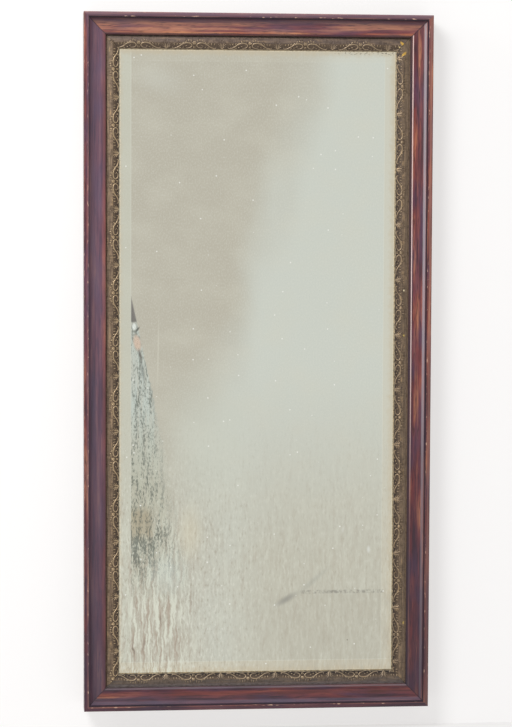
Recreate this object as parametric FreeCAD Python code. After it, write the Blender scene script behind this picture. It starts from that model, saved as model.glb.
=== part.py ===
import FreeCAD, Part

import math
import os

# Wall mirror: scooped oak frame, gilt liner with scroll ornament, bevelled silvered plate.
# Millimetres. X runs to the viewer's right, the mirror faces -Y, +Z is up.
# The back of the frame lies on y = 0, and z = 0 is the height of the wall hooks.

# Bevelled plate
glass_width = 457.2
glass_height = 1016.0
glass_thickness = 6.35
bevel_width = 25.4
bevel_depth = 3.0

# Oak moulding: widths run inward from the outer edge, heights forward from the back
oak_width = 35.0
oak_depth = 38.1
outer_ease = 1.4
fillet_width = 7.6
fillet_ease = 0.6
fillet_step = 2.2
quirk_width = 1.4
scoop_sag = 4.5
lip_height = 25.0
lip_width = 2.6
lip_drop = 1.3
lip_round = 0.5
lip_thickness = 5.0
lip_overlap = 4.0

# Gilt liner
liner_face = 22.15
liner_clearance = 0.4
crevice_width = 2.4
crevice_depth = 3.0
crest_width = 9.1
crest_height = 1.8
crest_round = 0.5
band_rise = 3.4
sight_edge = 2.9
sight_ease = 0.9
sight_overlap = 6.35
glass_play = 1.5

# Scroll ornament: one motif is a mirrored pair of ridged scrolls with a leaf between them
motif_length = 88.9
scroll_half_width = 1.0
scroll_height = 1.1
scroll_margin = 0.4
joint_gap = 3.0
crest_place = 12.0
curl_radius = 2.1
eye_angle = 115.0
facet_angle = 26.0
leaf_half_length = 4.2
leaf_half_width = 2.2
leaf_height = 1.2
# Distance from a corner, going clockwise, to the first joint between two motifs
first_joint = {"top": 30.0, "right": 56.0, "bottom": 58.0, "left": 82.0}

# Backing
board_count = 3
board_thickness = 5.0
board_inset = 1.2
board_clearance = 1.0
board_gap = 0.8
block_space = 5.0
block_clearance = 0.2
block_length = 40.0
block_lap = 5.0
rail_block_count = 2
stile_block_count = 4

# Square cut nails and brads, and round-headed screws
hole_clearance = 0.05
nail_half_side = 0.9
nail_head_half_side = 2.0
nail_head = 1.0
nail_grip = 9.0
# Length of a cut nail's point, in widths of its shank
nail_point = 2.0
brad_half_side = 0.7
brad_grip = 6.0
mitre_nail_half_side = 1.0
mitre_nail_length = 45.0
# Distance of each mitre nail from the corner and from the back
mitre_nail_places = ((11.0, 9.0), (20.0, 17.0))
screw_radius = 1.75
screw_head_radius = 3.3
screw_head = 2.0
screw_grip = 16.0
screw_point = 3.5

# Ring hangers on the backs of the stiles
hang_drop = 240.0
wire_radius = 1.6
ring_inner_width = 16.0
ring_corner = 3.0
ring_side = 2.5
ring_play = 0.08
ring_rest_gap = 0.35
strap_sheet = 1.2
strap_width = 12.0
strap_length = 40.0
strap_fold = 6.0
screw_drops = (22.0, 34.0)

# Places across the moulding, inward from the outer edge
at_rabbet = oak_width - lip_overlap
at_liner = at_rabbet + liner_clearance
at_crest_foot = oak_width + crevice_width
at_band = at_crest_foot + crest_width
at_sight = oak_width + liner_face
at_band_end = at_sight - sight_ease
at_glass = at_sight - sight_overlap
at_glass_wall = at_glass - glass_play
at_board_nail = (at_liner + at_glass_wall) / 2

# Heights forward from the back of the frame
up_board = board_inset + board_thickness
up_glass = up_board + block_space
up_glass_edge = up_glass + glass_thickness - bevel_depth
up_sight_seat = up_glass_edge + bevel_depth * sight_overlap / bevel_width
up_sight = up_sight_seat + sight_edge
up_band = up_sight + band_rise
up_lip_seat = lip_height - lip_thickness
up_crest_foot = up_band - crest_height
up_brad = up_board + block_space / 2

# Overall size
sight_width = glass_width - 2 * sight_overlap
sight_height = glass_height - 2 * sight_overlap
frame_width = sight_width + 2 * at_sight
frame_height = sight_height + 2 * at_sight
centre_z = hang_drop - frame_height / 2

# Backboards
boards_width = frame_width - 2 * (at_rabbet + board_clearance)
board_width = (boards_width + board_gap) / board_count - board_gap
board_height = frame_height - 2 * (at_rabbet + board_clearance)

# Ornament band and the loop that fills it
band_width = math.hypot(at_band_end - at_band, band_rise)
loop_radius = band_width / 2 - scroll_margin - scroll_half_width

# Ring hangers, worked out from the wire and the folded strap
bore_radius = wire_radius + ring_play
pivot_y = bore_radius + strap_sheet
ring_half = ring_inner_width / 2 + wire_radius
ring_rise = ring_corner + ring_side + ring_half
ring_lean = math.degrees(math.asin((pivot_y - wire_radius - ring_rest_gap) / ring_rise))
pivot_z = -(ring_rise - wire_radius) * math.cos(math.radians(ring_lean))
hanger_x = frame_width / 2 - at_rabbet / 2
strap_top = 2 * strap_sheet

# Each side: its turn about the Y axis, its length, and how far its outer edge is from the centre
sides = {
    "top": (0, frame_width, frame_height / 2),
    "right": (90, frame_height, frame_width / 2),
    "bottom": (180, frame_width, frame_height / 2),
    "left": (270, frame_height, frame_width / 2),
}
block_count = {
    "top": rail_block_count,
    "right": stile_block_count,
    "bottom": rail_block_count,
    "left": stile_block_count,
}
oak_names = {"top": "top_rail", "right": "right_stile", "bottom": "bottom_rail", "left": "left_stile"}

origin = FreeCAD.Vector(0, 0, 0)
along = FreeCAD.Vector(1, 0, 0)
back = FreeCAD.Vector(0, 1, 0)
up = FreeCAD.Vector(0, 0, 1)


# Drawing

def across_moulding(spot):
    """Place inward from the outer edge and height from the back, on the top side."""
    return FreeCAD.Vector(0, -spot[1], -spot[0])


def seen_from_side(spot):
    return FreeCAD.Vector(0, spot[0], spot[1])


def seen_from_front(spot):
    return FreeCAD.Vector(spot[0], 0, spot[1])


def flat(spot):
    return FreeCAD.Vector(spot[0], spot[1], 0)


def outline(start, steps, lay):
    """Closed wire. A step is its end, with a point on the way before it where the step is an arc."""
    edges = []
    here = start
    for *through, end in steps + [[start]]:
        if through:
            edges.append(Part.Arc(lay(here), lay(through[0]), lay(end)).toShape())
        else:
            edges.append(Part.LineSegment(lay(here), lay(end)).toShape())
        here = end
    return Part.Wire(edges)


def sagged(start, end, sag):
    """Middle of the arc from start to end that dips towards the back by sag."""
    across = end[0] - start[0]
    rise = end[1] - start[1]
    chord = math.hypot(across, rise)
    return ((start[0] + end[0]) / 2 + sag * rise / chord, (start[1] + end[1]) / 2 - sag * across / chord)


def rounded(before, corner, after):
    """Middle of the quarter circle that rounds a square corner."""
    pull = math.sqrt(0.5)
    centre = (before[0] + after[0] - corner[0], before[1] + after[1] - corner[1])
    return (centre[0] + pull * (corner[0] - centre[0]), centre[1] + pull * (corner[1] - centre[1]))


def evenly(count, length):
    """Centres of equal shares of a length that is centred on zero."""
    return [(index + 0.5) * length / count - length / 2 for index in range(count)]


def between(count, length):
    """Joints between equal shares of a length that is centred on zero."""
    return [index * length / count - length / 2 for index in range(1, count)]


# Placing

def place(shape, side):
    """Turn a shape made for the top side round to its own side of the frame."""
    turned = shape.copy()
    turned.rotate(origin, back, sides[side][0])
    turned.translate(up * centre_z)
    return turned


def turned_to(side, vector):
    return FreeCAD.Rotation(back, sides[side][0]).multVec(vector)


def spot_on(side, run, inward, height):
    """Point on a side: how far along it, how far in from the outer edge, how far from the back."""
    half = sides[side][2]
    return turned_to(side, FreeCAD.Vector(run, -height, half - inward)) + up * centre_z


def aim(shape, point, direction):
    """Move a shape that points along +Z to a point, and turn it to a direction."""
    aimed = shape.copy()
    aimed.Placement = FreeCAD.Placement(point, FreeCAD.Rotation(up, direction))
    return aimed


def drilled(shape, holes):
    """Cut the holes that reach a shape."""
    near = [tool for tool in holes if shape.BoundBox.intersect(tool.BoundBox)]
    return shape.cut(near).Solids[0] if near else shape


# Mouldings

def oak_section():
    """Flat outer fillet, quirk, scoop, inner lip, and the rabbet behind the lip."""
    outer_side = (0, oak_depth - outer_ease)
    outer_front = (outer_ease, oak_depth)
    fillet_front = (fillet_width - fillet_ease, oak_depth)
    fillet_side = (fillet_width, oak_depth - fillet_ease)
    scoop_start = (fillet_width + quirk_width, oak_depth - fillet_step)
    scoop_end = (oak_width - lip_width, lip_height)
    lip_side = (oak_width, lip_height - lip_drop)
    return outline((0, 0), [
        [outer_side],
        [rounded(outer_side, (0, oak_depth), outer_front), outer_front],
        [fillet_front],
        [rounded(fillet_front, (fillet_width, oak_depth), fillet_side), fillet_side],
        [(fillet_width, oak_depth - fillet_step)],
        [scoop_start],
        [sagged(scoop_start, scoop_end, scoop_sag), scoop_end],
        [sagged(scoop_end, lip_side, -lip_round), lip_side],
        [(oak_width, up_lip_seat)],
        [(at_rabbet, up_lip_seat)],
        [(at_rabbet, 0)],
    ], across_moulding)


def liner_section():
    """Flange under the oak lip, crevice, rounded crest, ornament band, and the rabbet for the plate."""
    crest_foot = (at_crest_foot, up_crest_foot)
    band_top = (at_band, up_band)
    sight_front = (at_band_end, up_sight)
    sight_side = (at_sight, up_sight - sight_ease)
    return outline((at_liner, up_board), [
        [(at_liner, up_lip_seat)],
        [(oak_width, up_lip_seat)],
        [(oak_width, up_lip_seat - crevice_depth)],
        [(at_crest_foot, up_lip_seat - crevice_depth)],
        [crest_foot],
        [sagged(crest_foot, band_top, -crest_round), band_top],
        [sight_front],
        [rounded(sight_front, (at_sight, up_sight), sight_side), sight_side],
        [(at_sight, up_sight_seat)],
        [(at_glass_wall, up_sight_seat)],
        [(at_glass_wall, up_board)],
    ], across_moulding)


def mitre_room(side):
    """Space between a side's two mitres, in the place of the top side."""
    length, half = sides[side][1:]
    end = length / 2
    reach = 2 * at_sight
    wire = outline((-end, half), [
        [(end, half)],
        [(end - reach, half - reach)],
        [(reach - end, half - reach)],
    ], seen_from_front)
    return Part.Face(wire).extrude(back * -2 * oak_depth)


def mitred(wire, side):
    """Run a section along a side, mitre both ends and put the length in its place."""
    length, half = sides[side][1:]
    run = Part.Face(wire).translated(FreeCAD.Vector(-length / 2, 0, half)).extrude(along * length)
    return place(run.common(mitre_room(side)).Solids[0], side)


# Fasteners

def square(half_side, height):
    near, far = -half_side, half_side
    wire = outline((near, near), [[(far, near)], [(far, far)], [(near, far)]], flat)
    return wire.translated(up * height)


def cut_nail(half_side, length, head_half_side=0, head_height=0):
    """Square pointed shank along +Z, with a chamfered head behind z = 0 where it has one."""
    shoulder = length - nail_point * 2 * half_side
    tip = Part.Vertex(up * length)
    shank = Part.makeLoft([square(half_side, 0), square(half_side, shoulder), tip], True, True)
    if not head_half_side:
        return shank
    head = Part.makeLoft([square(half_side, -head_height), square(head_half_side, 0)], True, True)
    return shank.fuse(head).Solids[0]


def round_screw():
    """Plain shank along +Z with a domed head behind z = 0. Its thread is left off."""
    length = strap_top + screw_grip
    ball = (screw_head_radius ** 2 + screw_head ** 2) / (2 * screw_head)
    half_angle = math.atan2(screw_head_radius, ball - screw_head) / 2
    brow = (ball * math.sin(half_angle), ball - screw_head - ball * math.cos(half_angle))
    profile = outline((0, -screw_head), [
        [brow, (screw_head_radius, 0)],
        [(screw_radius, 0)],
        [(screw_radius, length - screw_point)],
        [(0, length)],
    ], seen_from_front)
    return Part.Face(profile).revolve(origin, up, 360)


def nails_and_holes(half_side, length, spots, head_half_side=0, head_height=0):
    """Cut nails at each point and direction, and the square holes that they sit in."""
    nail = cut_nail(half_side, length, head_half_side, head_height)
    depth = up * (length + hole_clearance)
    hole = Part.Face(square(half_side + hole_clearance, 0)).extrude(depth)
    return [aim(nail, *spot) for spot in spots], [aim(hole, *spot) for spot in spots]


def screws_and_holes(spots):
    screw = round_screw()
    hole = Part.makeCylinder(screw_radius + hole_clearance, strap_top + screw_grip + hole_clearance)
    return [aim(screw, *spot) for spot in spots], [aim(hole, *spot) for spot in spots]


def sight_length(side):
    return sides[side][1] - 2 * at_sight


def board_centres():
    return evenly(board_count, boards_width + board_gap)


def board_nail_spots():
    """Two nails in each end of a board, and a nail beside each block down the stiles."""
    spots = []
    for side in sides:
        if side in ("left", "right"):
            runs = evenly(block_count[side], sight_length(side))
        else:
            runs = [centre + share * board_width / 4 for centre in board_centres() for share in (-1, 1)]
        spots += [(spot_on(side, run, at_board_nail, board_inset), -back) for run in runs]
    return spots


def brad_spots():
    """Brads through the liner into the oak, midway between the blocks."""
    spots = []
    for side in sides:
        for run in between(block_count[side], sight_length(side)):
            spots.append((spot_on(side, run, at_glass_wall, up_brad), turned_to(side, up)))
    return spots


def mitre_nail_spots():
    """Nails driven through the ends of the stiles into the rails."""
    spots = []
    for side in ("left", "right"):
        for end in (-1, 1):
            for from_corner, height in mitre_nail_places:
                run = end * (sides[side][1] / 2 - from_corner)
                spots.append((spot_on(side, run, 0, height), turned_to(side, -up)))
    return spots


def screw_spots():
    """Two screws through each hanger strap."""
    return [(FreeCAD.Vector(x, strap_top, pivot_z - drop), -back)
            for x in (-hanger_x, hanger_x) for drop in screw_drops]


# Plate, blocks and boards

def mirror_plate():
    """Plate with a flat back and a wide bevel round its front."""
    def rectangle(height, inset):
        x = glass_width / 2 - inset
        z = glass_height / 2 - inset
        wire = outline((-x, -z), [[(x, -z)], [(x, z)], [(-x, z)]], seen_from_front)
        return wire.translated(FreeCAD.Vector(0, -height, centre_z))

    front = rectangle(up_glass + glass_thickness, bevel_width)
    return Part.makeLoft([rectangle(up_glass, 0), rectangle(up_glass_edge, 0), front], True, True)


def glass_blocks():
    """Softwood wedges glued to the rabbet wall, bearing on the back of the plate."""
    wedge = outline((at_glass_wall, up_glass), [
        [(at_glass + block_lap, up_glass)],
        [(at_glass_wall, up_board + block_clearance)],
    ], across_moulding)
    blocks = []
    for side in sides:
        for run in evenly(block_count[side], sight_length(side)):
            corner = FreeCAD.Vector(run - block_length / 2, 0, sides[side][2])
            blocks.append(place(Part.Face(wedge).translated(corner).extrude(along * block_length), side))
    return Part.makeCompound(blocks)


def backboard(centre_x):
    corner = FreeCAD.Vector(centre_x - board_width / 2, -up_board, centre_z - board_height / 2)
    return Part.makeBox(board_width, board_thickness, board_height, corner)


# Ornament

def arc_points(centre, radius, start, end):
    """Points round an arc, about a facet angle apart."""
    count = math.ceil(abs(end - start) / facet_angle)
    angles = [math.radians(start + (end - start) * index / count) for index in range(count + 1)]
    return [flat((centre[0] + radius * math.cos(a), centre[1] + radius * math.sin(a))) for a in angles]


def scroll():
    """Half a motif on the XY plane: a loop at the joint, a long S, and a curl beside the leaf."""
    low = scroll_margin + scroll_half_width
    loop_x = motif_length / 2 - joint_gap / 2 - scroll_half_width - loop_radius
    reach = (loop_x - crest_place) / 2
    bend = (reach ** 2 + loop_radius ** 2) / (2 * loop_radius)
    turn = math.degrees(math.asin(reach / bend))
    points = arc_points((loop_x, low + loop_radius), loop_radius, -eye_angle, 90)
    points += arc_points((loop_x, low + 2 * loop_radius - bend), bend, 90, 90 + turn)[1:]
    points += arc_points((crest_place, low + bend), bend, turn - 90, -90)[1:]
    points += arc_points((crest_place, low + curl_radius), curl_radius, -90, -270)[1:]
    start = points[0]
    side = (points[1] - start).normalize().cross(up) * scroll_half_width
    ridge = Part.makePolygon([start - side, start + up * scroll_height, start + side, start - side])
    right_corners = 1
    return Part.makePolygon(points).makePipeShell([ridge], True, False, right_corners)


def leaf():
    """Pointed leaf with a raised middle, on the XY plane."""
    rim = outline((-leaf_half_length, 0), [
        [(0, -leaf_half_width)],
        [(leaf_half_length, 0)],
        [(0, leaf_half_width)],
    ], flat)
    return Part.makeLoft([rim, Part.Vertex(up * leaf_height)], True, True)


def scroll_run(side):
    """Scrolls and leaves glued along the sloping band of one liner length, cut off at its mitres."""
    length, half = sides[side][1:]
    right_half = scroll()
    left_half = right_half.mirror(origin, along)
    middle_leaf = leaf().translated(FreeCAD.Vector(0, band_width / 2, 0))
    slope = FreeCAD.Vector(0, -band_rise, at_band_end - at_band)
    turn = FreeCAD.Rotation(along, slope, along.cross(slope), "XYZ")
    room = mitre_room(side)
    pieces = []
    middle = first_joint[side] - sight_length(side) / 2 - motif_length / 2
    while middle - motif_length > at_band - length / 2:
        middle -= motif_length
    while middle - motif_length / 2 < length / 2 - at_band:
        on_band = FreeCAD.Placement(FreeCAD.Vector(middle, -up_sight, half - at_band_end), turn)
        for shape in (left_half, middle_leaf, right_half):
            piece = shape.copy()
            piece.Placement = on_band.multiply(piece.Placement)
            pieces += piece.common(room).Solids
        middle += motif_length
    return place(Part.makeCompound(pieces), side)


# Ring hangers

def hanger_strap(x, holes):
    """Steel strip folded round the ring's bar, with a rounded foot."""
    loop = outline((0, -strap_length), [
        [(0, 0)],
        [(pivot_y, pivot_y), (2 * pivot_y, 0)],
        [(strap_top, -strap_fold)],
        [(strap_top, -strap_length)],
    ], seen_from_side)
    half = strap_width / 2
    front = outline((-half, 2 * pivot_y), [
        [(half, 2 * pivot_y)],
        [(half, half - strap_length)],
        [(0, -strap_length), (-half, half - strap_length)],
    ], seen_from_front)
    folded = Part.Face(loop).translated(along * -half).extrude(along * strap_width)
    bore = Part.makeCylinder(bore_radius, strap_width, FreeCAD.Vector(-half, pivot_y, 0), along)
    shape = folded.common(Part.Face(front).extrude(back * 2 * pivot_y)).cut(bore)
    return drilled(shape.translated(FreeCAD.Vector(x, 0, pivot_z)).Solids[0], holes)


def hanger_ring(x):
    """Wire ring with a straight bar, leaning back against the stile."""
    bar = ring_half - ring_corner
    shoulder = ring_corner + ring_side
    right_corner = rounded((bar, 0), (ring_half, 0), (ring_half, ring_corner))
    path = outline((0, 0), [
        [(bar, 0)],
        [right_corner, (ring_half, ring_corner)],
        [(ring_half, shoulder)],
        [(0, ring_rise), (-ring_half, shoulder)],
        [(-ring_half, ring_corner)],
        [(-right_corner[0], right_corner[1]), (-bar, 0)],
    ], seen_from_front)
    ring = path.makePipeShell([Part.Wire(Part.makeCircle(wire_radius, origin, along))], True, False)
    ring.rotate(origin, along, ring_lean)
    return ring.translated(FreeCAD.Vector(x, pivot_y, pivot_z))


def build():
    """Every node of the mirror by name."""
    board_nails, board_holes = nails_and_holes(nail_half_side, board_thickness + nail_grip,
                                               board_nail_spots(), nail_head_half_side, nail_head)
    brad_length = at_glass_wall - at_rabbet + brad_grip
    brads, brad_holes = nails_and_holes(brad_half_side, brad_length, brad_spots())
    mitre_nails, mitre_holes = nails_and_holes(mitre_nail_half_side, mitre_nail_length, mitre_nail_spots())
    screws, screw_holes = screws_and_holes(screw_spots())
    nodes = {
        "mirror_plate": mirror_plate(),
        "glass_blocks": glass_blocks(),
        "backboard_nails": Part.makeCompound(board_nails),
        "liner_brads": Part.makeCompound(brads),
        "mitre_nails": Part.makeCompound(mitre_nails),
        "hanger_screws": Part.makeCompound(screws),
    }
    for side, oak_name in oak_names.items():
        nodes[oak_name] = drilled(mitred(oak_section(), side), brad_holes + mitre_holes + screw_holes)
        nodes[f"liner_{side}"] = drilled(mitred(liner_section(), side), board_holes + brad_holes)
        nodes[f"scrolls_{side}"] = scroll_run(side)
    for number, centre_x in enumerate(board_centres(), 1):
        nodes[f"backboard_{number}"] = drilled(backboard(centre_x), board_holes)
    for side, x in (("left", -hanger_x), ("right", hanger_x)):
        nodes[f"hanger_strap_{side}"] = hanger_strap(x, screw_holes)
        nodes[f"hanger_ring_{side}"] = hanger_ring(x)
    return nodes


os.makedirs("parts", exist_ok=True)
for name, shape in build().items():
    shape.exportStep(f"parts/{name}.step")
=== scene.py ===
import math
from collections import namedtuple
from types import SimpleNamespace

import bmesh
import bpy
from mathutils import Matrix, Quaternion, Vector

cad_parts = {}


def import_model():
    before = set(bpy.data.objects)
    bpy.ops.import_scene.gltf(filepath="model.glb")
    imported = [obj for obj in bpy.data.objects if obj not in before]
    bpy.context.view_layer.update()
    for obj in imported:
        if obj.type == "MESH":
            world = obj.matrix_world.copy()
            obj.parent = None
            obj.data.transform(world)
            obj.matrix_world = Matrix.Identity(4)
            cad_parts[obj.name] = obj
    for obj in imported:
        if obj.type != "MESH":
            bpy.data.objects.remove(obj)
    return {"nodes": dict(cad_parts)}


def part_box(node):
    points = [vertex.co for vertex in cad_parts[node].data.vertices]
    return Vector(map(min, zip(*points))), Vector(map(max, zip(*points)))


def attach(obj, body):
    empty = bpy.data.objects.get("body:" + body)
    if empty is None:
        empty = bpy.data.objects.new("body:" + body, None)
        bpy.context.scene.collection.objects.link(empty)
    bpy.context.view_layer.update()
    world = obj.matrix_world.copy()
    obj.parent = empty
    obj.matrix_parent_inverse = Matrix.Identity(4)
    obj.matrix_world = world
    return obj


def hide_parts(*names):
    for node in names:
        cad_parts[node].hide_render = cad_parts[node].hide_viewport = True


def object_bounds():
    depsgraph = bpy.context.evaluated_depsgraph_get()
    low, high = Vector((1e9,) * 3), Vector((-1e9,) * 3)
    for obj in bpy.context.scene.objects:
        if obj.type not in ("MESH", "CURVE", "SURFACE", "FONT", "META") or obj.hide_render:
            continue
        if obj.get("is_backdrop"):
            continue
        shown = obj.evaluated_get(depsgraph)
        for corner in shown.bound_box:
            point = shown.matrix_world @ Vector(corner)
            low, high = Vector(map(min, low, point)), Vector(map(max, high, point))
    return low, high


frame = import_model()
cad_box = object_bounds()

# Metres. X runs to the viewer's right, the mirror faces -Y, +Z is up.
mm = 0.001

# Frame, read from the solids
rail_low, rail_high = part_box("top_rail")
half_width = rail_high.x
half_height = (rail_high.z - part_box("bottom_rail")[0].z) / 2
centre = Vector((0, 0, rail_high.z - half_height))
oak_front = -rail_low.y

# Oak moulding: places inward from its outer edge
fillet_end = 7.6 * mm
scoop_start = 9.0 * mm
lip_start = 32.4 * mm
oak_width = 35.0 * mm

# Oak: strips rubbed at its two front arrises, stained outer side, bare back, width of its open mitres
inner_arris = (6.0 * mm, fillet_end - 0.3 * mm)
outer_arris = (0.2 * mm, 1.6 * mm)
outer_arris_depth = (oak_front - 2.4 * mm, oak_front - 1.2 * mm)
outer_side = (0.05 * mm, 0.3 * mm)
outer_side_depth = (oak_front - 4.0 * mm, oak_front - 1.5 * mm)
bare_back = (0.3 * mm, 1.2 * mm)
oak_joint = 1.4 * mm

# Softness of fine lines on the oak and the glass
soft_edge = 0.8 * mm

# Gilt liner: places inward from the outer edge of the oak, heights forward from the back
crest_foot = 37.4 * mm
band_start = 46.5 * mm
band_end = 56.25 * mm
sight_edge = 57.15 * mm
band_high = 21.6 * mm
band_low = 18.2 * mm
crest_low = 19.8 * mm
crest_round = 0.5 * mm
band_width = math.hypot(band_end - band_start, band_high - band_low)
gilt_joint = 0.8 * mm
# A real ground is punched finer, which would not show
punch_spacing = 1.5 * mm

# Plate, seen inside the liner
seen_width = 2 * (half_width - sight_edge)
seen_height = 2 * (half_height - sight_edge)
plate_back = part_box("mirror_plate")[1].y
bevel_line = 19.05 * mm

# Places on the plate are starts and ends across or down from the top left corner of what is seen.
# Painted reflection of the room, lighter on the right: its edge, the edge's shift from the top to the end of
# the slant, and by the clouds
room_reflection_across = (240 * mm, 360 * mm)
room_reflection_slant = (-90 * mm, 85 * mm)
room_reflection_end = 620 * mm
room_cloud_push = 160 * mm

# Browner at the lower right, part of the painted reflection of the room
brown_down = (480 * mm, 860 * mm)
brown_across = (60 * mm, 270 * mm)

# Drips: where they get strong down and across the plate, and how far they sway
drips_down = (670 * mm, 850 * mm)
drips_across = (75 * mm, 155 * mm)
faint_down = (520 * mm, 820 * mm)
frost_across = (110 * mm, 240 * mm)
drip_sway = 13 * mm

# Wedge of lost silver: its tip down the plate, its slope, reaches past the tip, and widths of its edge
wedge_tip = 391 * mm
wedge_slope = 0.22
tip_reach = (2 * mm, 42 * mm)
wedge_reach = (80 * mm, 420 * mm)
bite_reach = (40 * mm, 200 * mm)
bite_depth = 20 * mm
dissolve_reach = (150 * mm, 380 * mm)
dissolve_width = (2 * mm, 36 * mm)
tint_reach = (180 * mm, 320 * mm)
pale_reach = (200 * mm, 380 * mm)
fleck_rim = 16 * mm

# Brown band and heavy dark patch in the wedge: places down and across the plate
band_down = (747 * mm, 772 * mm)
band_across = (24 * mm, 44 * mm)
heavy_top = (776 * mm, 786 * mm)
heavy_foot = (796 * mm, 850 * mm)
heavy_across = (22 * mm, 52 * mm)
patch_fade = 16 * mm

# Tide line and the mottling below it
tide_down = 872 * mm
tide_width = 3 * mm
tide_across = (300 * mm, 425 * mm)
mottle_across = (190 * mm, 300 * mm)

# Tarnish from the edges of the plate, cream line of tarnish with a painted reflection of the liner, and the
# liner's painted shadow at the top right
tarnish_reach = (1 * mm, 13 * mm)
tarnish_spread = 14 * mm
sound_left = 5 * mm
cream_line = (1.4 * mm, 2.6 * mm)
liner_shadow_down = (3 * mm, 8 * mm)
liner_shadow_across = (330 * mm, 380 * mm)

# White specks
speck_spacing = 12 * mm

# Pine: width of a growth ring, and how far the rings wander, as an angle
ring_width = 9 * mm
ring_wander = 60.0

# Scroll ornament: the line of the solids, drawn finer and doubled, with leaves
motif_length = 88.9 * mm
joint_gap = 5.0 * mm
tail_end = 11.0 * mm
loop_radius = 4.5 * mm
loop_stretch = 1.5
curl_radius = 1.7 * mm
curl_end = 1.0 * mm
line_margin = 1.2 * mm
hook_width = 1.3 * mm
tail_width = 0.75 * mm
fine_width = 0.6 * mm
line_spacing = 2.3 * mm
line_flatness = 0.85
boss_radius = 1.1 * mm
boss_place = 0.12
crest_fold = 0.42
foot_depth = 0.3 * mm
first_joint = {"top": 30 * mm, "right": 56 * mm, "bottom": 58 * mm, "left": 82 * mm}

# Strokes of half a palmette: lean and length
palmette_foot = 1.0 * mm
palmette = ((5, 13.5 * mm), (20, 12.5 * mm), (36, 9.0 * mm), (54, 6.0 * mm))

# Leaves in millimetres: place along and up from the joint or the palmette, direction, length
joint_leaves = ((-0.6, 6.6, 94, 7.5), (-0.6, 6.6, 118, 5.5), (-0.9, 0.8, 93, 5.0))
scroll_leaves = (
    (13.0, 5.2, 100, 5.0), (16.5, 5.6, 78, 5.0), (20.5, 6.6, 62, 5.0), (25.0, 8.2, 50, 5.0),
    (30.0, 10.4, 62, 5.0), (35.0, 11.6, 78, 5.0), (39.5, 10.8, 95, 5.0),
    (20.0, 1.4, 12, 4.2), (25.0, 2.2, 22, 4.2), (29.5, 3.8, 34, 4.2),
)

# A leaf of length 1: half its width, half its height, and its taper from foot to tip
leaf_width = 0.22
leaf_height = 0.24
leaf_taper = (1.15, 0.35)

# Hanger screws
screw_radius = 3.3 * mm
screw_head = 2.0 * mm
slot_width = 0.9 * mm

# Stage
floor_height = centre.z - half_height - 40 * mm
wall_y = 14 * mm
stage_reach = 12.0

# Lamps: place, size and power
lamps = {"key": ((-1.6, -2.6, 2.0), 1.6, 110), "window": ((-2.6, -0.5, 1.0), 1.0, 30)}

# Camera, from a fit to the frame's eight corners, with its image height and focal length in pixels
camera_place = Vector((-0.3867, -3.8560, -0.0672))
camera_aim = Vector((-0.0024, -0.0176, -0.3187))
camera_roll = math.radians(0.2345)
image_height = 727
focal_length = 2400

# Each side: its turn about the Y axis, half its length, and how far its outer edge is from the centre
Side = namedtuple("Side", "turn half_length outer")
sides = {
    "top": Side(0, half_width, half_height),
    "right": Side(90, half_height, half_width),
    "bottom": Side(180, half_width, half_height),
    "left": Side(270, half_height, half_width),
}
oak_names = {"top": "top_rail", "right": "right_stile", "bottom": "bottom_rail", "left": "left_stile"}

# Oak by side: painted light, how far its tone is lifted, lightest on the top and darkest on the bottom
oak_side_light = {"top": 0.12, "right": 0.015, "bottom": -0.04, "left": 0.01}

# Oak by side: share of the red patches
oak_ember = {"top": 0.5, "right": 0.45, "bottom": 0.5, "left": 0.3}

# Oak by side: share of the painted shade in the quirk and of the dirt in the mitres
oak_quirk_shade_and_joint_dirt = {"top": 0.85, "right": 0.85, "bottom": 0.85, "left": 0.55}

# Oak by side: share of the painted shade, which starts this far above the centre and deepens downwards as the
# light falls off
oak_falloff_shade = {"top": 0.0, "right": 0.6, "bottom": 0.25, "left": 0.5}
falloff_start = 150 * mm

# Stain of the oak: place on the scale of its tone, and colour
oak_stain = ((0.48, "#201018"), (0.62, "#47202a"), (0.75, "#703633"), (0.92, "#b07552"))

# Bands along the oak: colour, start and end inward from the outer edge, softness, strength.
# They are mostly painted light: painted reflections of bluish light on the varnish of the fillet and scoop,
# painted highlights and painted shade on the scoop and the lip; a few are redder stain.
oak_light_bands = {
    "top": [
        ("#7f6673", 0.0, 6.0 * mm, 1.0 * mm, 0.7),
        ("#2a1c30", 8.0 * mm, 11.0 * mm, 9.0 * mm, 0.8),
        ("#6f5c6e", 13.0 * mm, 27.0 * mm, 4.0 * mm, 0.22),
        ("#241620", lip_start + 0.2 * mm, oak_width, 1.6 * mm, 0.75),
    ],
    "right": [
        ("#a87a68", 2.0 * mm, 4.4 * mm, 1.2 * mm, 0.45),
        ("#3a1a20", 18.0 * mm, 23.0 * mm, 3.0 * mm, 0.25),
        ("#24151b", lip_start, oak_width, 0.6 * mm, 1.0),
    ],
    "bottom": [
        ("#43333f", 0.0, 6.5 * mm, 1.0 * mm, 0.6),
        ("#6a6679", 9.8 * mm, 12.5 * mm, 3.5 * mm, 0.6),
        ("#96503a", 22.5 * mm, 26.0 * mm, 3.0 * mm, 0.35),
        ("#93898f", lip_start, lip_start + 2.0 * mm, 0.8 * mm, 0.55),
    ],
    "left": [
        ("#65566a", 9.5 * mm, 26.0 * mm, 8.0 * mm, 0.7),
        ("#8a5b5c", 30.5 * mm, oak_width, 1.5 * mm, 0.4),
    ],
}

# Painted highlights on the oak that fade down its side: the same, and their strength above and below
oak_gleams = {
    "right": [
        ("#9b9298", 11.0 * mm, 12.8 * mm, 1.7 * mm, 0.65, 0.4),
        ("#ecd2cc", 30.4 * mm, 31.3 * mm, 0.7 * mm, 0.8, 0.1),
    ],
}
gleam_fade = 300 * mm

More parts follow.
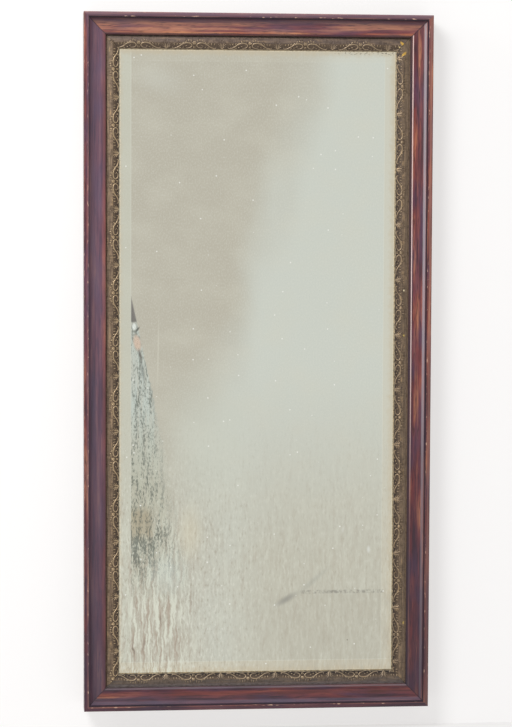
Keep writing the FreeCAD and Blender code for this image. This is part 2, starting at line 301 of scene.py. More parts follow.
# Gilding by side: colour and share of a darker layer laid over it, heaviest on the top and bottom
gilt_side_darkening = {
    "top": ("#4a3f40", 0.55),
    "right": ("#4e4440", 0.15),
    "bottom": ("#434145", 0.55),
    "left": ("#5c4c40", 0.1),
}

# How far the scrolls are rubbed bright, with a painted highlight, and how dark the painted shade with grime
# makes the ground under them towards the glass
scroll_rub_and_highlight = {"top": 0.45, "right": 0.25, "bottom": 0.4, "left": 0.6}
band_shade_and_grime = {"top": 0.5, "right": 0.85, "bottom": 1.0, "left": 0.7}

# What is painted in the crevice between oak and liner: the lip's painted shadow on the top, painted shade on
# the left, painted light on the right, grey dust on the bottom: its colour, share and reach up the crest
crevice_shade_light_and_dust = {
    "top": ("#1f1511", 0.7, 0.6 * mm),
    "right": ("#a08c78", 0.75, 4.0 * mm),
    "bottom": ("#9c9494", 0.8, 4.0 * mm),
    "left": ("#5a3c30", 0.6, 0.6 * mm),
}

# Where the gilding has rubbed off the sight lip; on the left its pale colour is also a painted highlight
sight_lip = {"top": "#a39378", "right": "#ab9b80", "bottom": "#a89980", "left": "#d9ceb4"}

# Bright chips in the liner's gilding, in millimetres: place along and inward, half sizes, lean, colour
gilt_chips = {
    "top": [(232, 45.5, 7.0, 2.6, 45, "#b99445"), (228, 51.5, 4.0, 1.6, 45, "#d9c48d")],
    "right": [(424, 38.6, 3.2, 1.9, 0, "#d8b95a"), (-118, 42.5, 2.0, 1.5, 0, "#d9cdaa"),
              (-45, 42.2, 3.0, 1.8, 0, "#b9a15c"), (-497, 45.5, 7.0, 2.6, 45, "#b99445")],
}

# Painted reflections on the bevels of the plate, left, right, top and bottom: colour and share
bevel_reflection_tones = (("#d2d6c8", 0.55), ("#d3cfbd", 0.5), ("#d3d2c2", 0.15), ("#d3ccb7", 0.55))

# Tones of the drips, by pattern: colour, and where on the pattern it starts and is full
drip_tones = {
    "small_runs": (("#e2e4d9", 0.54, 0.66), ("#a49c8c", 0.44, 0.32)),
    "broad_runs": (("#dcdfd2", 0.52, 0.64), ("#b0a797", 0.46, 0.34)),
    "sharp_runs": (("#e2e6d8", 0.50, 0.58), ("#b3a596", 0.46, 0.38), ("#857f74", 0.38, 0.30)),
}

# Marks on the plate: place across and down and half sizes in millimetres, turn, softness, colour, share.
# They are veils, the torn tip of the wedge, a scratch, a smear with its haze, light patches and a speck.
plate_marks = (
    (135.0, 640.0, 115.0, 190.0, 0, 1.0, "#cfd4c8", 0.45),
    (80.0, 840.0, 46.0, 55.0, 0, 1.0, "#d3dcd5", 0.45),
    (114.0, 775.0, 28.0, 62.0, 0, 1.0, "#dad2b8", 0.4),
    (62.0, 48.0, 60.0, 34.0, 15, 1.0, "#d6dbd4", 0.25),
    (23.5, 442.0, 4.2, 7.5, 0, 0.6, "#e2e9e3", 0.9),
    (28.5, 447.0, 2.2, 8.0, 40, 0.7, "#5d5e59", 0.9),
    (28.5, 468.0, 8.0, 17.0, -12, 0.6, "#cfb9a6", 0.9),
    (33.5, 488.0, 3.4, 15.0, -14, 0.9, "#66635d", 0.85),
    (38.0, 516.0, 4.5, 26.0, -8, 0.95, "#7d8480", 0.65),
    (62.0, 484.0, 1.8, 84.0, 1, 0.9, "#dcdccd", 0.45),
    (271.0, 885.0, 28.0, 8.0, -31, 0.95, "#94948f", 0.8),
    (314.0, 856.0, 46.0, 7.0, -40, 0.95, "#aeb0a6", 0.5),
    (405.0, 805.0, 4.0, 9.0, 0, 0.9, "#e0e4df", 0.7),
    (363.0, 772.0, 3.0, 10.0, 8, 0.9, "#dde1da", 0.5),
    (371.0, 953.0, 1.4, 1.8, 0, 0.6, "#6f6a5c", 0.8),
)

# Noise patterns: sizes of their grains in millimetres along x, y and z, step of the seed, detail.
# On a side of the frame x runs along it, on the plate x runs across and y down.
# Real pores, fibre, brush marks and bloom are finer and would not show, so they are drawn coarser.
patterns = {
    "oak_grain": ((130, 3.2, 3.2), 0, 4),
    "oak_figure": ((110, 12, 12), 3, 3),
    "oak_blush": ((70, 18, 18), 5, 2),
    "oak_pores": ((20, 1.3, 1.3), 7, 2),
    "oak_ember": ((90, 10, 10), 9, 2),
    "oak_knocks": ((9, 2.2, 2.2), 11, 3),
    "oak_fibre": ((45, 0.6, 0.6), 13, 2),
    "gilt_brushing": ((60, 1.4, 1.4), 0, 3),
    "gilt_patches": ((12, 4, 4), 2, 4),
    "gilt_feathering": ((2.4, 6, 6), 4, 2),
    "gilt_flakes": ((5, 2.5, 2.5), 6, 3),
    "clouds": ((130, 240, 1), 2, 3),
    "haze": ((70, 50, 1), 4, 4),
    "sway": ((15, 18, 1), 5, 3),
    "bloom": ((2.4, 3.2, 1), 6, 2),
    "sharp_runs": ((4.4, 62, 1), 7, 5),
    "broad_runs": ((7, 42, 1), 8, 5),
    "small_runs": ((3.2, 9, 1), 9, 4),
    "ragged_edge": ((6, 10, 1), 11, 3),
    "flecks": ((2, 5.5, 1), 13, 4),
    "fleck_crowds": ((6, 36, 1), 17, 3),
    "tide_breaks": ((5, 6, 1), 19, 3),
    "tide_mottle": ((6, 30, 1), 23, 4),
    "tarnish_patches": ((9, 9, 1), 29, 4),
    "edge_grit": ((3.5, 2, 1), 31, 3),
    "upright_streaks": ((4, 60, 1), 37, 3),
    "paint_brushing": ((4, 120, 1), 41, 3),
    "pine_wander": ((90, 90, 700), 0, 2),
    "pine_fibre": ((1.2, 1.2, 90), 1, 3),
    "pine_stain": ((60, 60, 140), 2, 4),
    "tarnish": ((4, 4, 4), 3, 5),
}

# Seeds of the pine pieces
pine_seeds = {"glass_blocks": 50, "backboard_1": 70, "backboard_2": 80, "backboard_3": 90}

# Kinds of nodes, some with settings
MATH = "ShaderNodeMath"
ADD = (MATH, {"operation": "ADD"})
SUBTRACT = (MATH, {"operation": "SUBTRACT"})
MULTIPLY = (MATH, {"operation": "MULTIPLY"})
MULTIPLY_ADD = (MATH, {"operation": "MULTIPLY_ADD"})
MINIMUM = (MATH, {"operation": "MINIMUM"})
MAXIMUM = (MATH, {"operation": "MAXIMUM"})
ABSOLUTE = (MATH, {"operation": "ABSOLUTE"})
POWER = (MATH, {"operation": "POWER"})
SINE = (MATH, {"operation": "SINE"})
GREATER = (MATH, {"operation": "GREATER_THAN"})
LENGTH = ("ShaderNodeVectorMath", {"operation": "LENGTH"})
ADD_VECTORS = ("ShaderNodeVectorMath", {"operation": "ADD"})
RANGE = "ShaderNodeMapRange"
SMOOTH = (RANGE, {"interpolation_type": "SMOOTHSTEP"})
MAPPING = "ShaderNodeMapping"
FITTING = (MAPPING, {"vector_type": "TEXTURE"})
MIX = ("ShaderNodeMix", {"data_type": "RGBA"})
NOISE = ("ShaderNodeTexNoise", {"noise_dimensions": "4D"})
CELLS = "ShaderNodeTexVoronoi"
BUMP = "ShaderNodeBump"
PARTS = "ShaderNodeSeparateXYZ"
JOIN_PARTS = "ShaderNodeCombineXYZ"
BALL = "GeometryNodeMeshUVSphere"
TRANSFORM = "GeometryNodeTransform"
POSITION = "GeometryNodeInputPosition"
SET_POSITION = "GeometryNodeSetPosition"
INSTANCES = "GeometryNodeInstanceOnPoints"
REALIZE = "GeometryNodeRealizeInstances"
ATTRIBUTE = ("GeometryNodeInputNamedAttribute", {"data_type": "FLOAT"})
UPRIGHT_CURVE = ("GeometryNodeSetCurveNormal", {"mode": "Z_UP"})
POINT_ROW = ("GeometryNodeMeshLine", {"mode": "OFFSET"})
CUT_OUT = ("GeometryNodeMeshBoolean", {"operation": "DIFFERENCE"})
LARGER = ("FunctionNodeCompare", {"operation": "GREATER_THAN"})
RANDOM = ("FunctionNodeRandomValue", {"data_type": "FLOAT"})


def give(tree, node, *inputs, **named):
    """Link or set a node's inputs, by order or by name with _ for a space. A node means its first output."""
    shown = [socket for socket in node.inputs if socket.enabled]
    by_name = {socket.name.replace(" ", "_"): socket for socket in reversed(shown)}
    pairs = [*zip(shown, inputs), *((by_name[name], value) for name, value in named.items())]
    for socket, value in pairs:
        if isinstance(value, bpy.types.Node):
            value = next(s for s in value.outputs if s.enabled)
        if isinstance(value, bpy.types.NodeSocket):
            tree.links.new(value, socket)
        else:
            socket.default_value = value


def add(tree, kind, *inputs, **named):
    """Add a node of a kind, which may come with settings, and give it its inputs."""
    name, settings = kind if isinstance(kind, tuple) else (kind, {})
    node = tree.nodes.new(name)
    for setting, value in settings.items():
        setattr(node, setting, value)
    give(tree, node, *inputs, **named)
    return node


def colour(code):
    """Linear colour from an sRGB hex value."""
    parts = [int(code[i:i + 2], 16) / 255 for i in (1, 3, 5)]
    linear = [c / 12.92 if c <= 0.04045 else ((c + 0.055) / 1.055) ** 2.4 for c in parts]
    return (*linear, 1)


def new_material(name):
    """Empty material, and its principled shader."""
    material = bpy.data.materials.new(name)
    material.use_nodes = True
    return material, material.node_tree, material.node_tree.nodes["Principled BSDF"]


def new_object(name, data):
    """Object in the scene."""
    piece = bpy.data.objects.new(name, data)
    bpy.context.collection.objects.link(piece)
    return piece


# Patterns, masks and places

def pattern(tree, place, name, seed=0):
    """Noise from the list of patterns."""
    sizes, step, detail = patterns[name]
    stretched = add(tree, MAPPING, Vector=place, Scale=[1 / (size * mm) for size in sizes])
    return add(tree, NOISE, Vector=stretched, W=seed + step, Scale=1.0, Detail=detail)


def overlap(tree, first, *others):
    """1 where all of these masks are 1, and their product elsewhere."""
    mask = first
    for other in others:
        mask = add(tree, MULTIPLY, mask, other)
    return mask


def between(tree, value, low, high, soft):
    """1 where a value lies between low and high, fading out over soft on both sides."""
    rise = add(tree, SMOOTH, value, low - soft, low)
    fall = add(tree, SMOOTH, value, high, high + soft, 1.0, 0.0)
    return overlap(tree, rise, fall)


def cover(tree, under, over, *masks):
    """A colour, given as a hex value or a node, laid over another where the masks overlap."""
    if isinstance(over, str):
        over = colour(over)
    return add(tree, MIX, overlap(tree, *masks), under, over)


def blot(tree, place, middle, half_sizes, turn, soft):
    """1 inside an ellipse, given by its middle and half sizes in millimetres, its turn and its softness."""
    moved = add(tree, FITTING, Vector=place, Location=(middle[0] * mm, middle[1] * mm, 0),
                Rotation=(0, 0, math.radians(turn)), Scale=(half_sizes[0] * mm, half_sizes[1] * mm, 1))
    distance = add(tree, LENGTH, moved).outputs["Value"]
    return add(tree, SMOOTH, distance, 1 - soft, 1.0, 1.0, 0.0)


def object_place(tree):
    """Object coordinates."""
    return add(tree, "ShaderNodeTexCoord").outputs["Object"]


def side_matrix(side):
    """From a side's own axes (x along it, -y forward, z outward from the centre) to the frame's."""
    return Matrix.Translation(centre) @ Matrix.Rotation(math.radians(sides[side].turn), 4, "Y")


def side_place(tree, side):
    """Object coordinates on a side's own axes, and the distances along it, inward and forward."""
    inverse = side_matrix(side).inverted()
    place = add(tree, MAPPING, Vector=object_place(tree), Location=inverse.translation,
                Rotation=inverse.to_euler())
    x, y, z = add(tree, PARTS, place).outputs
    inward = add(tree, SUBTRACT, sides[side].outer, z)
    forward = add(tree, MULTIPLY, y, -1.0)
    return SimpleNamespace(place=place, along=x, inward=inward, forward=forward)


def mitre_line(tree, side, at, width):
    """1 on the joint at both mitres of a side."""
    from_middle = add(tree, ABSOLUTE, at.along)
    from_end = add(tree, SUBTRACT, sides[side].half_length, from_middle)
    apart = add(tree, SUBTRACT, from_end, at.inward)
    gap = add(tree, ABSOLUTE, apart)
    return add(tree, SMOOTH, gap, width / 4, width, 1.0, 0.0)


def plate_place(tree):
    """Distances across and down the visible plate from its top left corner, from its edges, and its depth."""
    x, y, z = add(tree, PARTS, object_place(tree)).outputs
    across = add(tree, ADD, x, seen_width / 2)
    down = add(tree, SUBTRACT, centre.z + seen_height / 2, z)
    from_right = add(tree, SUBTRACT, seen_width, across)
    from_bottom = add(tree, SUBTRACT, seen_height, down)
    return SimpleNamespace(place=add(tree, JOIN_PARTS, across, down, 0.0), across=across, down=down,
                           depth=y, edges=(across, from_right, down, from_bottom))


# Oak

def oak_grain(tree, side, at, seed, grain, pores):
    """Stained wood with red and purple patches and open pores, and the tone that its stain follows."""
    figure = pattern(tree, at.place, "oak_figure", seed)
    # Painted light: each side's tone lifted or lowered by how light falls on it
    mottle = add(tree, MULTIPLY_ADD, figure, 0.8, oak_side_light[side])
    fine = add(tree, RANGE, pattern(tree, at.place, "oak_fibre", seed), 0.0, 1.0, -0.09, 0.09)
    streaky = add(tree, ADD, mottle, fine)
    tone = add(tree, MULTIPLY_ADD, grain, 0.6, streaky)
    ramp = add(tree, "ShaderNodeValToRGB", tone)
    stops = ramp.color_ramp.elements
    for index, (position, code) in enumerate(oak_stain):
        stop = stops[index] if index < len(stops) else stops.new(position)
        stop.position = position
        stop.color = colour(code)
    ember = pattern(tree, at.place, "oak_ember", seed)
    wood = cover(tree, ramp, "#7c3024", add(tree, RANGE, ember, 0.50, 0.68, 0.0, oak_ember[side]))
    blush = pattern(tree, at.place, "oak_blush", seed)
    wood = cover(tree, wood, "#3d2d49", add(tree, RANGE, blush, 0.46, 0.64, 0.0, 0.55))
    return cover(tree, wood, "#1a0e13", add(tree, RANGE, pores, 0.36, 0.46, 0.7, 0.0)), tone


def oak_painted_light(tree, side, at, tone, wood):
    """Painted reflections, highlights and shade along the moulding, and painted shade deepening down the
    lower half of the frame.
    """
    # Painted reflections, highlights and shade in bands along the moulding
    for code, start, end, soft, share in oak_light_bands[side]:
        uneven = add(tree, RANGE, tone, 0.5, 0.85, share * 0.55, share)
        wood = cover(tree, wood, code, between(tree, at.inward, start, end, soft), uneven)
    # Painted highlights, fading down the side
    for code, start, end, soft, above, below in oak_gleams.get(side, ()):
        strength = add(tree, SMOOTH, at.along, 0.0, gleam_fade, above, below)
        wood = cover(tree, wood, code, between(tree, at.inward, start, end, soft), strength)
    # Painted shade: the frame darker towards the bottom, as the light falls off
    height = add(tree, PARTS, object_place(tree)).outputs["Z"]
    shade_falloff = add(tree, RANGE, height, centre.z + falloff_start, centre.z - half_height, 0.0, oak_falloff_shade[side])
    return cover(tree, wood, "#231c2b", shade_falloff)


def oak_wear(tree, at, seed, grain, wood):
    """Varnish rubbed thin on the two front arrises, with small chips down to pale wood."""
    inner = between(tree, at.inward, *inner_arris, soft_edge)
    outer = overlap(tree, add(tree, RANGE, at.inward, *outer_arris, 1.0, 0.0),
                    add(tree, RANGE, at.forward, *outer_arris_depth))
    arrises = add(tree, MAXIMUM, inner, outer)
    wood = cover(tree, wood, "#a4705c", arrises, add(tree, RANGE, grain, 0.45, 0.72, 0.0, 0.55))
    knocks = pattern(tree, at.place, "oak_knocks", seed)
    return cover(tree, wood, "#c8a48c", arrises, add(tree, RANGE, knocks, 0.60, 0.68, 0.0, 0.8))


def oak_quirk_shade_and_grime(tree, side, at, wood):
    """Painted shade in the quirk, dirt in the mitres, and a darker outer side."""
    quirk = between(tree, at.inward, fillet_end + 0.2 * mm, scoop_start + 0.4 * mm, soft_edge)
    joint = overlap(tree, mitre_line(tree, side, at, oak_joint),
                    between(tree, at.inward, scoop_start, oak_width, 1.0 * mm))
    # Painted shade in the quirk groove, and dirt in the mitre joints
    shade_and_dirt = add(tree, MAXIMUM, quirk, joint)
    wood = cover(tree, wood, "#191020", shade_and_dirt, oak_quirk_shade_and_joint_dirt[side])
    at_side = add(tree, RANGE, at.inward, *outer_side, 0.6, 0.0)
    behind_front = add(tree, RANGE, at.forward, *outer_side_depth, 1.0, 0.0)
    return cover(tree, wood, "#251512", at_side, behind_front)


def stained_oak(side, seed):
    """Oak stained dark red-brown under old satin varnish: long dark, red and orange streaks with the grain,
    painted light by side, painted reflections, highlights and shade along the moulding and down the frame,
    worn arrises, painted shade in the quirk, dirt in the mitres, and bare wood at the back."""
    material, tree, shader = new_material(f"stained_oak_{side}")
    at = side_place(tree, side)
    grain = pattern(tree, at.place, "oak_grain", seed)
    pores = pattern(tree, at.place, "oak_pores", seed)
    wood, tone = oak_grain(tree, side, at, seed, grain, pores)
    wood = oak_painted_light(tree, side, at, tone, wood)
    wood = oak_wear(tree, at, seed, grain, wood)
    wood = oak_quirk_shade_and_grime(tree, side, at, wood)
    raw = cover(tree, colour("#5d432c"), "#a1825a", grain)
    wood = cover(tree, wood, raw, add(tree, RANGE, at.forward, *bare_back, 1.0, 0.0))
    gloss = add(tree, RANGE, grain, 0.3, 0.7, 0.28, 0.45)
    relief = add(tree, BUMP, Height=pores, Strength=0.25, Distance=0.4 * mm)
    give(tree, shader, Base_Color=wood, Roughness=gloss, Normal=relief, Specular_IOR_Level=0.3,
         Coat_Weight=0.2, Coat_Roughness=0.2)
    return material


# Gilding

def gilding(tree, side, at, seed, brushing):
    """Worn gilding's colour, streaked along the length, rubbed through to brown in patches, and darkened by
    side.
    """
    patches = pattern(tree, at.place, "gilt_patches", seed)
    gold = cover(tree, colour("#44392f"), "#99836a", add(tree, RANGE, brushing, 0.3, 0.7))
    gold = cover(tree, gold, "#493a30", add(tree, RANGE, patches, 0.48, 0.66, 0.0, 0.6))
    gold = cover(tree, gold, "#b0926a", add(tree, RANGE, patches, 0.42, 0.30, 0.0, 0.6))
    # A darker layer by side, heaviest on the top and bottom
    code, share = gilt_side_darkening[side]
    return cover(tree, gold, code, share)


def punched_ground(tree, side, at, punches):
    """Dark ground of the band, darker towards the glass with painted shade and grime."""
    ground = cover(tree, colour("#463a31"), "#6d5b49", punches)
    # Painted shade with grime, deepening towards the glass
    recess = add(tree, RANGE, at.inward, band_start, band_end - 2 * mm, 0.0, band_shade_and_grime[side])
    return cover(tree, ground, "#231b16", recess)


def liner_wear(tree, side, at, seed, gold):
    """Rubbed sight lip with a painted highlight on the left, bright chips, painted shadow, painted shade,
    painted light and dust in the crevice by side, and dark mitres.
    """
    flakes = pattern(tree, at.place, "gilt_flakes", seed)
    # Rubbed sight lip, with a painted highlight on the left
    lip = add(tree, RANGE, at.inward, band_end - 0.2 * mm, band_end + 0.3 * mm)
    gold = cover(tree, gold, sight_lip[side], lip, add(tree, RANGE, flakes, 0.38, 0.58, 0.2, 0.95))
    flat = add(tree, JOIN_PARTS, at.along, at.inward, 0.0)
    for run, depth, half_run, half_depth, lean, code in gilt_chips.get(side, ()):
        gold = cover(tree, gold, code, blot(tree, flat, (run, depth), (half_run, half_depth), lean, 0.5))
    # Painted shadow, painted shade, painted light and dust in the crevice, by side
    code, share, reach = crevice_shade_light_and_dust[side]
    crevice = add(tree, SMOOTH, at.inward, oak_width + 1.0 * mm, crest_foot + reach, share, 0.0)
    gold = cover(tree, gold, code, crevice, add(tree, RANGE, flakes, 0.35, 0.6, 0.35, 1.0))
    return cover(tree, gold, "#1f1511", mitre_line(tree, side, at, gilt_joint), 0.6)


def gilt_liner(side, seed):
    """Gilding on gesso gone brown: a plain streaky crest, a dark punched ground under the scrolls,
    painted shade with grime towards the sight edge, and painted shadow, painted light and dust in the
    crevice."""
    material, tree, shader = new_material(f"antique_gilding_{side}")
    at = side_place(tree, side)
    brushing = pattern(tree, at.place, "gilt_brushing", seed)
    feathering = pattern(tree, at.place, "gilt_feathering", seed)
    punches = add(tree, CELLS, Vector=at.place, Scale=1 / punch_spacing).outputs["Distance"]
    gold = gilding(tree, side, at, seed, brushing)
    gold = cover(tree, gold, "#3b2e25", add(tree, RANGE, feathering, 0.52, 0.62, 0.0, 0.5))
    band = add(tree, SMOOTH, at.inward, band_start - 0.4 * mm, band_start + 0.8 * mm)
    gold = cover(tree, gold, punched_ground(tree, side, at, punches), band)
    gold = liner_wear(tree, side, at, seed, gold)
    metal = add(tree, RANGE, brushing, 0.3, 0.7, 0.35, 0.6)
    height = add(tree, MULTIPLY_ADD, feathering, -0.6, overlap(tree, punches, band))
    relief = add(tree, BUMP, Height=height, Strength=0.5, Distance=0.3 * mm)
    give(tree, shader, Base_Color=gold, Metallic=metal, Roughness=0.46, Normal=relief)
    return material


def scroll_height(tree, at):
    """Height above the liner's band or, past the ridge, above its rounded crest."""
    past_ridge = add(tree, SUBTRACT, at.inward, band_start)
    band_fall = (band_high - band_low) / (band_end - band_start)
    crest_fall = (band_high - crest_low) / (band_start - crest_foot)
    band = add(tree, MULTIPLY_ADD, past_ridge, -band_fall, band_high)
    crest = add(tree, MULTIPLY_ADD, past_ridge, crest_fall, band_high)
    slope = add(tree, MINIMUM, band, crest)
    over_crest = add(tree, RANGE, at.inward, crest_foot, band_start, -1.0, 1.0)
    squared = add(tree, POWER, over_crest, 2.0)
    bulge = add(tree, MULTIPLY_ADD, squared, -crest_round, crest_round)
    ground = add(tree, ADD, slope, bulge)
    return add(tree, SUBTRACT, at.forward, ground)


def gilt_scrolls(side, seed):
    """Gilded pressed composition: pale rubbed gold with a painted highlight on the ridges, and painted shade
    with grime at their feet.
    """
    material, tree, shader = new_material(f"gilded_composition_{side}")
    at = side_place(tree, side)
    gold = gilding(tree, side, at, seed, pattern(tree, at.place, "gilt_brushing", seed))
    height = scroll_height(tree, at)
    ridge = add(tree, SMOOTH, height, 0.1 * mm, 0.5 * mm)
    rubbed_and_lit = add(tree, SMOOTH, height, 0.45 * mm, 0.85 * mm)
    # Painted shade with grime at the feet of the relief, and rubbed gold with a painted highlight on its
    # ridges
    gold = cover(tree, colour("#241a14"), gold, ridge)
    gold = cover(tree, gold, "#bfa886", rubbed_and_lit, scroll_rub_and_highlight[side])
    metal = add(tree, RANGE, ridge, 0.0, 1.0, 0.2, 0.6)
    give(tree, shader, Base_Color=gold, Metallic=metal, Roughness=0.40)
    return material


# Silvered glass

def silver_with_painted_room(tree, at):
    """Tone of sound silvering with a painted reflection of the room: warm on the left, cooler and lighter
    past a slanting edge on the right, browner at the lower right, with soft clouds and haze; the fine pale
    bloom is the silver's own."""
    clouds = pattern(tree, at.place, "clouds")
    drift = add(tree, MULTIPLY_ADD, clouds, room_cloud_push, at.across)
    slant = add(tree, RANGE, at.down, 0.0, room_reflection_end, *room_reflection_slant)
    slanted = add(tree, ADD, drift, slant)
    silver = cover(tree, colour("#bfbcae"), "#d0d6ce", add(tree, SMOOTH, slanted, *room_reflection_across))
    haze = pattern(tree, at.place, "haze")
    silver = cover(tree, silver, "#d6d6c8", add(tree, RANGE, haze, 0.45, 0.75, 0.0, 0.35))
    bloom = pattern(tree, at.place, "bloom")
    silver = cover(tree, silver, "#e0e3d9", add(tree, RANGE, bloom, 0.45, 0.7, 0.0, 0.25))
    low = add(tree, SMOOTH, at.down, *brown_down, 0.0, 0.75)
    right = add(tree, SMOOTH, at.across, *brown_across)
    return cover(tree, silver, "#c1beae", low, right)


def bevel_reflections(tree, at, skin):
    """Bevels painted a shade paler or yellower than the flat of the plate as a painted reflection, with a
    painted highlight line where they begin.
    """
    for distance, (code, share) in zip(at.edges, bevel_reflection_tones):
        strip = add(tree, RANGE, distance, bevel_line - 1.5 * mm, bevel_line, share, 0.0)
        skin = cover(tree, skin, code, strip)
        line = between(tree, distance, bevel_line - 1.2 * mm, bevel_line - 0.4 * mm, soft_edge)
        skin = cover(tree, skin, "#dfe4d9", line, share * 0.5)
    return skin


def tarnished_edges_and_liner_shadow(tree, at, skin):
    """Tarnish creeping in from the rabbet, a cream line at the edge that is tarnish with a painted reflection
    of the liner, and the liner's painted shadow as dark flecks at the top right.
    """
    left, right, top, bottom = at.edges
    spared_left = add(tree, ADD, left, sound_left)
    sideways = add(tree, MINIMUM, spared_left, right)
    upright = add(tree, MINIMUM, top, bottom)
    edge = add(tree, MINIMUM, sideways, upright)
    patchy = add(tree, SUBTRACT, pattern(tree, at.place, "tarnish_patches"), 0.5)
    reach = add(tree, MULTIPLY_ADD, patchy, tarnish_spread, edge)
    skin = cover(tree, skin, "#cabfa6", add(tree, SMOOTH, reach, *tarnish_reach, 0.65, 0.0))
    grit = pattern(tree, at.place, "edge_grit")
    nearest_side = add(tree, MINIMUM, left, right)
    rim = add(tree, MINIMUM, nearest_side, upright)
    # Cream line at the edge: tarnish with a painted reflection of the liner
    skin = cover(tree, skin, "#e9dec4", add(tree, RANGE, rim, *cream_line, 1.0, 0.0),
                 add(tree, RANGE, grit, 0.4, 0.6, 0.1, 0.8))
    # The liner's painted shadow: dark flecks at the top right
    return cover(tree, skin, "#4a4136", add(tree, RANGE, at.down, *liner_shadow_down, 1.0, 0.0),
                 add(tree, RANGE, at.across, *liner_shadow_across), add(tree, RANGE, grit, 0.54, 0.62, 0.0, 0.85))


def drips(tree, at, skin):
    """Wavy runs down the lower half: small and broad ones faint, sharp pinkish ones at the bottom left."""
    sideways = add(tree, MULTIPLY, pattern(tree, at.place, "sway"), drip_sway)
    swayed = add(tree, ADD_VECTORS, at.place, add(tree, JOIN_PARTS, X=sideways))
    low = add(tree, SMOOTH, at.down, *drips_down)
    left = add(tree, SMOOTH, at.across, *drips_across, 1.0, 0.1)
    flat = add(tree, RANGE, at.across, bevel_line - 3 * mm, bevel_line, 0.5, 1.0)
    faint = add(tree, SMOOTH, at.down, *faint_down, 0.0, 0.3)
    frost = add(tree, RANGE, at.across, *frost_across, 3.0, 1.3)
    runs = {
        "small_runs": (at.place, overlap(tree, faint, frost)),
        "broad_runs": (swayed, faint),
        "sharp_runs": (swayed, overlap(tree, low, left, flat)),
    }
    for name, (place, strength) in runs.items():
        run = pattern(tree, place, name)
        for code, start, end in drip_tones[name]:
            skin = cover(tree, skin, code, add(tree, RANGE, run, start, end, 0.0, 0.8), strength)
    return skin


def wedge(tree, at):
    """Long wedge beside the left bevel: distances past its tip and inside its ragged edge, and its shape."""
    past_tip = add(tree, SUBTRACT, at.down, wedge_tip)
    straight = add(tree, MULTIPLY_ADD, past_tip, wedge_slope, bevel_line)
    ragged = add(tree, SUBTRACT, pattern(tree, at.place, "ragged_edge"), 0.5)
    bite = add(tree, RANGE, past_tip, *bite_reach, 0.0, bite_depth)
    edge = add(tree, MULTIPLY_ADD, ragged, bite, straight)
    inside = add(tree, SUBTRACT, edge, at.across)
    dissolve = add(tree, RANGE, past_tip, *dissolve_reach, *dissolve_width)
    right_of_bevel = add(tree, RANGE, at.across, bevel_line - 1 * mm, bevel_line + 0.5 * mm)
    return past_tip, inside, overlap(tree, add(tree, RANGE, inside, 0.0, dissolve), right_of_bevel)


def dark_flecks(tree, at, inside):
    """Upright flecks without silver, denser at the wedge's edge and in a heavy patch."""
    rim = add(tree, RANGE, inside, 0.0, fleck_rim, 0.07, 0.0)
    heavy = overlap(tree, add(tree, RANGE, at.down, *heavy_top),
                    add(tree, RANGE, at.down, *heavy_foot, 1.0, 0.0),
                    between(tree, at.across, *heavy_across, patch_fade))
    crowding = add(tree, MULTIPLY_ADD, heavy, 0.12, rim)
    crowds = pattern(tree, at.place, "fleck_crowds")
    density = add(tree, MULTIPLY_ADD, crowds, 0.8, crowding)
    amount = add(tree, ADD, pattern(tree, at.place, "flecks"), density)
    return add(tree, RANGE, amount, 0.87, 1.05)


def lost_silver(tree, at, skin):
    """Wedge where the silver has flaked off: grey at its tip, then pale with dark upright flecks,
    a brown band and a heavy dark patch. It gives the skin and where the silver is gone."""
    past_tip, inside, shape = wedge(tree, at)
    body = overlap(tree, shape, between(tree, past_tip, *wedge_reach, 90 * mm))
    streaks = add(tree, RANGE, pattern(tree, at.place, "upright_streaks"), 0.35, 0.6, 0.35, 0.85)
    weaker = add(tree, RANGE, past_tip, *pale_reach, 1.0, 0.45)
    tint = cover(tree, colour("#c8d4ce"), "#bfc4b0", add(tree, RANGE, past_tip, *tint_reach))
    skin = cover(tree, skin, tint, body, streaks, weaker)
    skin = cover(tree, skin, "#86827e", shape, between(tree, past_tip, *tip_reach, 3 * mm))
    skin = cover(tree, skin, "#a99c80", between(tree, at.down, *band_down, 22 * mm),
                 between(tree, at.across, *band_across, patch_fade), body, 0.6)
    lost = overlap(tree, dark_flecks(tree, at, inside), body)
    return cover(tree, skin, "#4c534a", lost, 0.8), lost


def single_marks(tree, at, skin):
    """The marks in the list, one over the other."""
    for x, y, half_x, half_y, turn, soft, code, share in plate_marks:
        skin = cover(tree, skin, code, blot(tree, at.place, (x, y), (half_x, half_y), turn, soft), share)
    return skin


def tide_line(tree, at, skin):
    """Broken water line at the lower right, with upright mottling below it."""
    mottle = pattern(tree, at.place, "tide_mottle")
    skin = cover(tree, skin, "#b3b0a2", add(tree, RANGE, at.down, tide_down, tide_down + 8 * mm),
                 add(tree, RANGE, at.across, *mottle_across), add(tree, RANGE, mottle, 0.35, 0.7, 0.0, 0.5))
    breaks = pattern(tree, at.place, "tide_breaks")
    return cover(tree, skin, "#7d7b76", between(tree, at.down, tide_down, tide_down + tide_width, 2.5 * mm),
                 between(tree, at.across, *tide_across, 8 * mm),
                 add(tree, RANGE, breaks, 0.42, 0.60, 0.0, 0.6))


def white_specks(tree, at, skin):
    """Scattered pinholes that catch the light."""
    cells = add(tree, CELLS, Vector=at.place, Scale=1 / speck_spacing).outputs
    dot = add(tree, RANGE, cells["Distance"], 0.07, 0.13, 0.85, 0.0)
    draw = add(tree, PARTS, cells["Color"]).outputs["X"]
    chosen = add(tree, GREATER, draw, 0.8)
    return cover(tree, skin, "#f2f4ef", dot, chosen)


